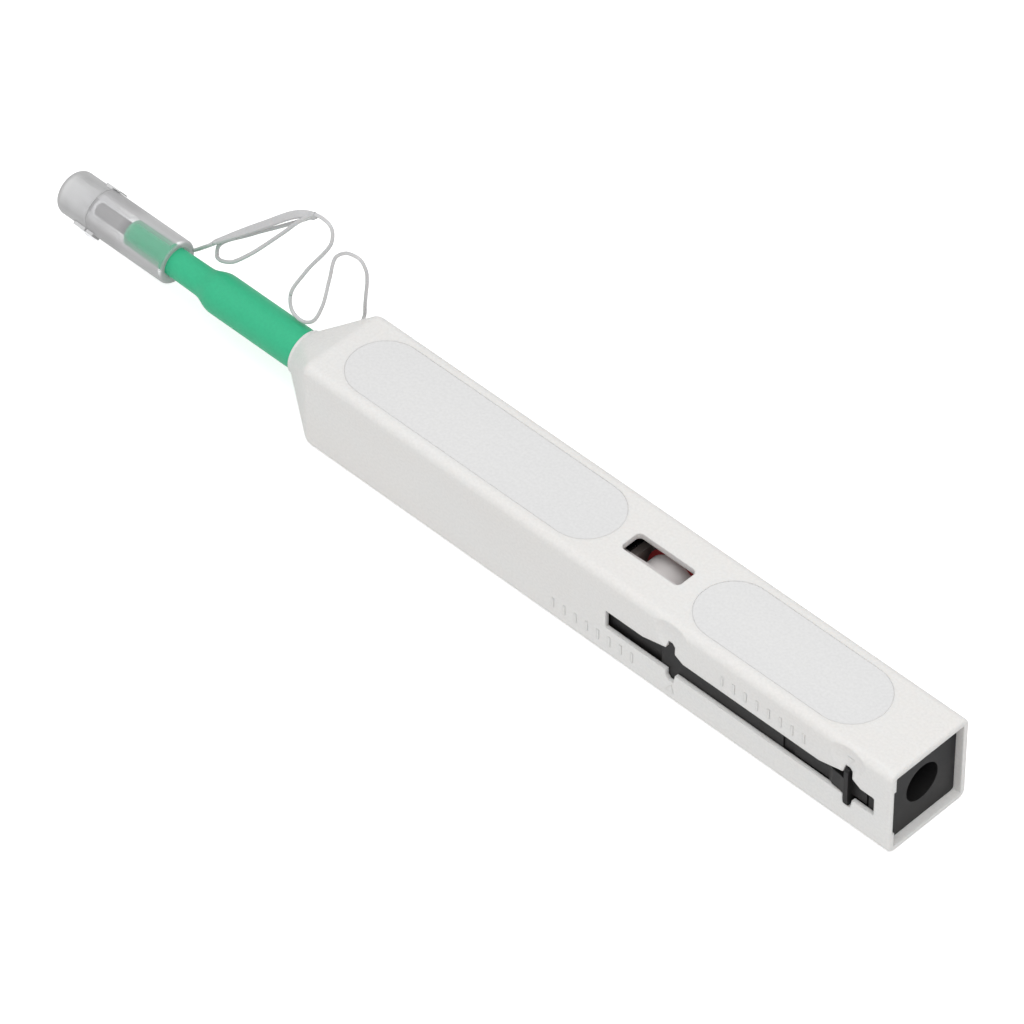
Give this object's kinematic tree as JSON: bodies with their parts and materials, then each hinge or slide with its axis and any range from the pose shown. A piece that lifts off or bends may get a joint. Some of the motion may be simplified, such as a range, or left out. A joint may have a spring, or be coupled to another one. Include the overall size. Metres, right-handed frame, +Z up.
{
  "type": "fibre connector cleaning pen",
  "caption": "Push-to-clean pen: a square sleeve with a sprung carriage, tape reels, a green nozzle with a hinged guide cap on a strap, and a side latch that sets the nozzle reach.",
  "frame": {"origin": "centre of the sleeve's flat underside, the face it rests on", "axes": "+X along the pen towards its rear socket, so the nozzle points along -X; +Z up, out of the face with the reel window; the latch slot is on the -Y side"},
  "size_m": [0.1947, 0.0186, 0.036],
  "materials": {
    "white_abs": "fine satin moulded, slightly warm white",
    "label_film": "smooth printed film, blank, cool pale grey",
    "black_plastic": "satin moulded",
    "dark_plastic": "satin moulded",
    "natural_plastic": "acetal, satin",
    "red_plastic": "moulded, semi gloss",
    "green_plastic": "satin moulded",
    "clear_plastic": "frosted translucent polypropylene",
    "strap_plastic": "translucent polypropylene, thin",
    "wiping_tape": "densely woven micro fibre tape",
    "felt": "pressed felt",
    "steel": "ground pin",
    "spring_steel": "drawn wire",
    "dark_metal": "dark anodised tube"
  },
  "bodies": {
    "sleeve": {"casing": "white_abs", "front_label": "label_film", "rear_label": "label_film", "tether_strap": "strap_plastic"},
    "sled": {"slider_base": "black_plastic", "guide_pin": "steel"},
    "latch": {"lock_lever": "black_plastic"},
    "carriage": {"carriage_frame": "dark_plastic", "carriage_cover": "dark_plastic", "reel_axles": "steel", "friction_washer": "felt", "ratchet_pawl": "spring_steel", "spring_rod": "steel", "return_spring": "spring_steel", "nozzle_tube": "green_plastic", "tip_sleeve": "dark_metal", "cleaning_tape": "wiping_tape", "head_spring": "spring_steel"},
    "supply": {"supply_reel": "red_plastic", "supply_tape_roll": "wiping_tape"},
    "take_up": {"take_up_reel": "red_plastic", "take_up_tape_roll": "wiping_tape"},
    "pinion": {"drive_gear": "natural_plastic"},
    "cam": {"cam_shaft": "natural_plastic"},
    "head": {"cleaning_head": "natural_plastic"},
    "cap": {"guide_cap": "clear_plastic"},
    "lid": {"cap_lid": "clear_plastic"}
  },
  "joints": [
    {"name": "extension_slide", "type": "slide", "parent": "sleeve", "child": "sled", "axis": [-1, 0, 0], "range_m": [0, 0.038], "deforming": ["lock_lever", "tether_strap"]},
    {"name": "latch_press", "type": "hinge", "parent": "sled", "child": "latch", "pos_m": [0.04375, -0.0077, 0.00865], "axis": [0, 0, 1], "range_deg": [0, 7], "stiffness_Nm_per_rad": 0.002},
    {"name": "push_stroke", "type": "slide", "parent": "sled", "child": "carriage", "axis": [1, 0, 0], "range_m": [0, 0.012], "stiffness_N_per_m": 20, "springref_m": -0.006, "deforming": ["return_spring"]},
    {"name": "pinion_spin", "type": "hinge", "parent": "carriage", "child": "pinion", "pos_m": [0.02305, 0, 0.009], "axis": [0, 1, 0], "range_deg": [0, 138]},
    {"name": "take_up_spin", "type": "hinge", "parent": "carriage", "child": "take_up", "pos_m": [0.02305, 0, 0.009], "axis": [0, 1, 0], "range_deg": [0, 138], "deforming": ["ratchet_pawl"]},
    {"name": "supply_spin", "type": "hinge", "parent": "carriage", "child": "supply", "pos_m": [0.00625, 0, 0.009], "axis": [0, 1, 0], "range_deg": [0, 92]},
    {"name": "cam_spin", "type": "hinge", "parent": "carriage", "child": "cam", "pos_m": [-0.00725, 0, 0.009], "axis": [1, 0, 0], "range_deg": [0, 180.5]},
    {"name": "head_press", "type": "slide", "parent": "cam", "child": "head", "axis": [1, 0, 0], "range_m": [0, 0.0006], "stiffness_N_per_m": 10, "deforming": ["head_spring"]},
    {"name": "cap_pull", "type": "slide", "parent": "carriage", "child": "cap", "axis": [-1, 0, 0], "range_m": [0, 0.03]},
    {"name": "lid_flip", "type": "hinge", "parent": "cap", "child": "lid", "pos_m": [-0.1221, -0.00393, 0.00625], "axis": [0, -0.5736, 0.8192], "range_deg": [0, 150]}
  ],
  "couplings": [
    {"joint": "pinion_spin", "follows": "push_stroke", "rad_per_m": 200},
    {"joint": "take_up_spin", "follows": "push_stroke", "rad_per_m": 200},
    {"joint": "supply_spin", "follows": "push_stroke", "rad_per_m": 133.33},
    {"joint": "cam_spin", "follows": "push_stroke", "rad_per_m": 261.8}
  ]
}
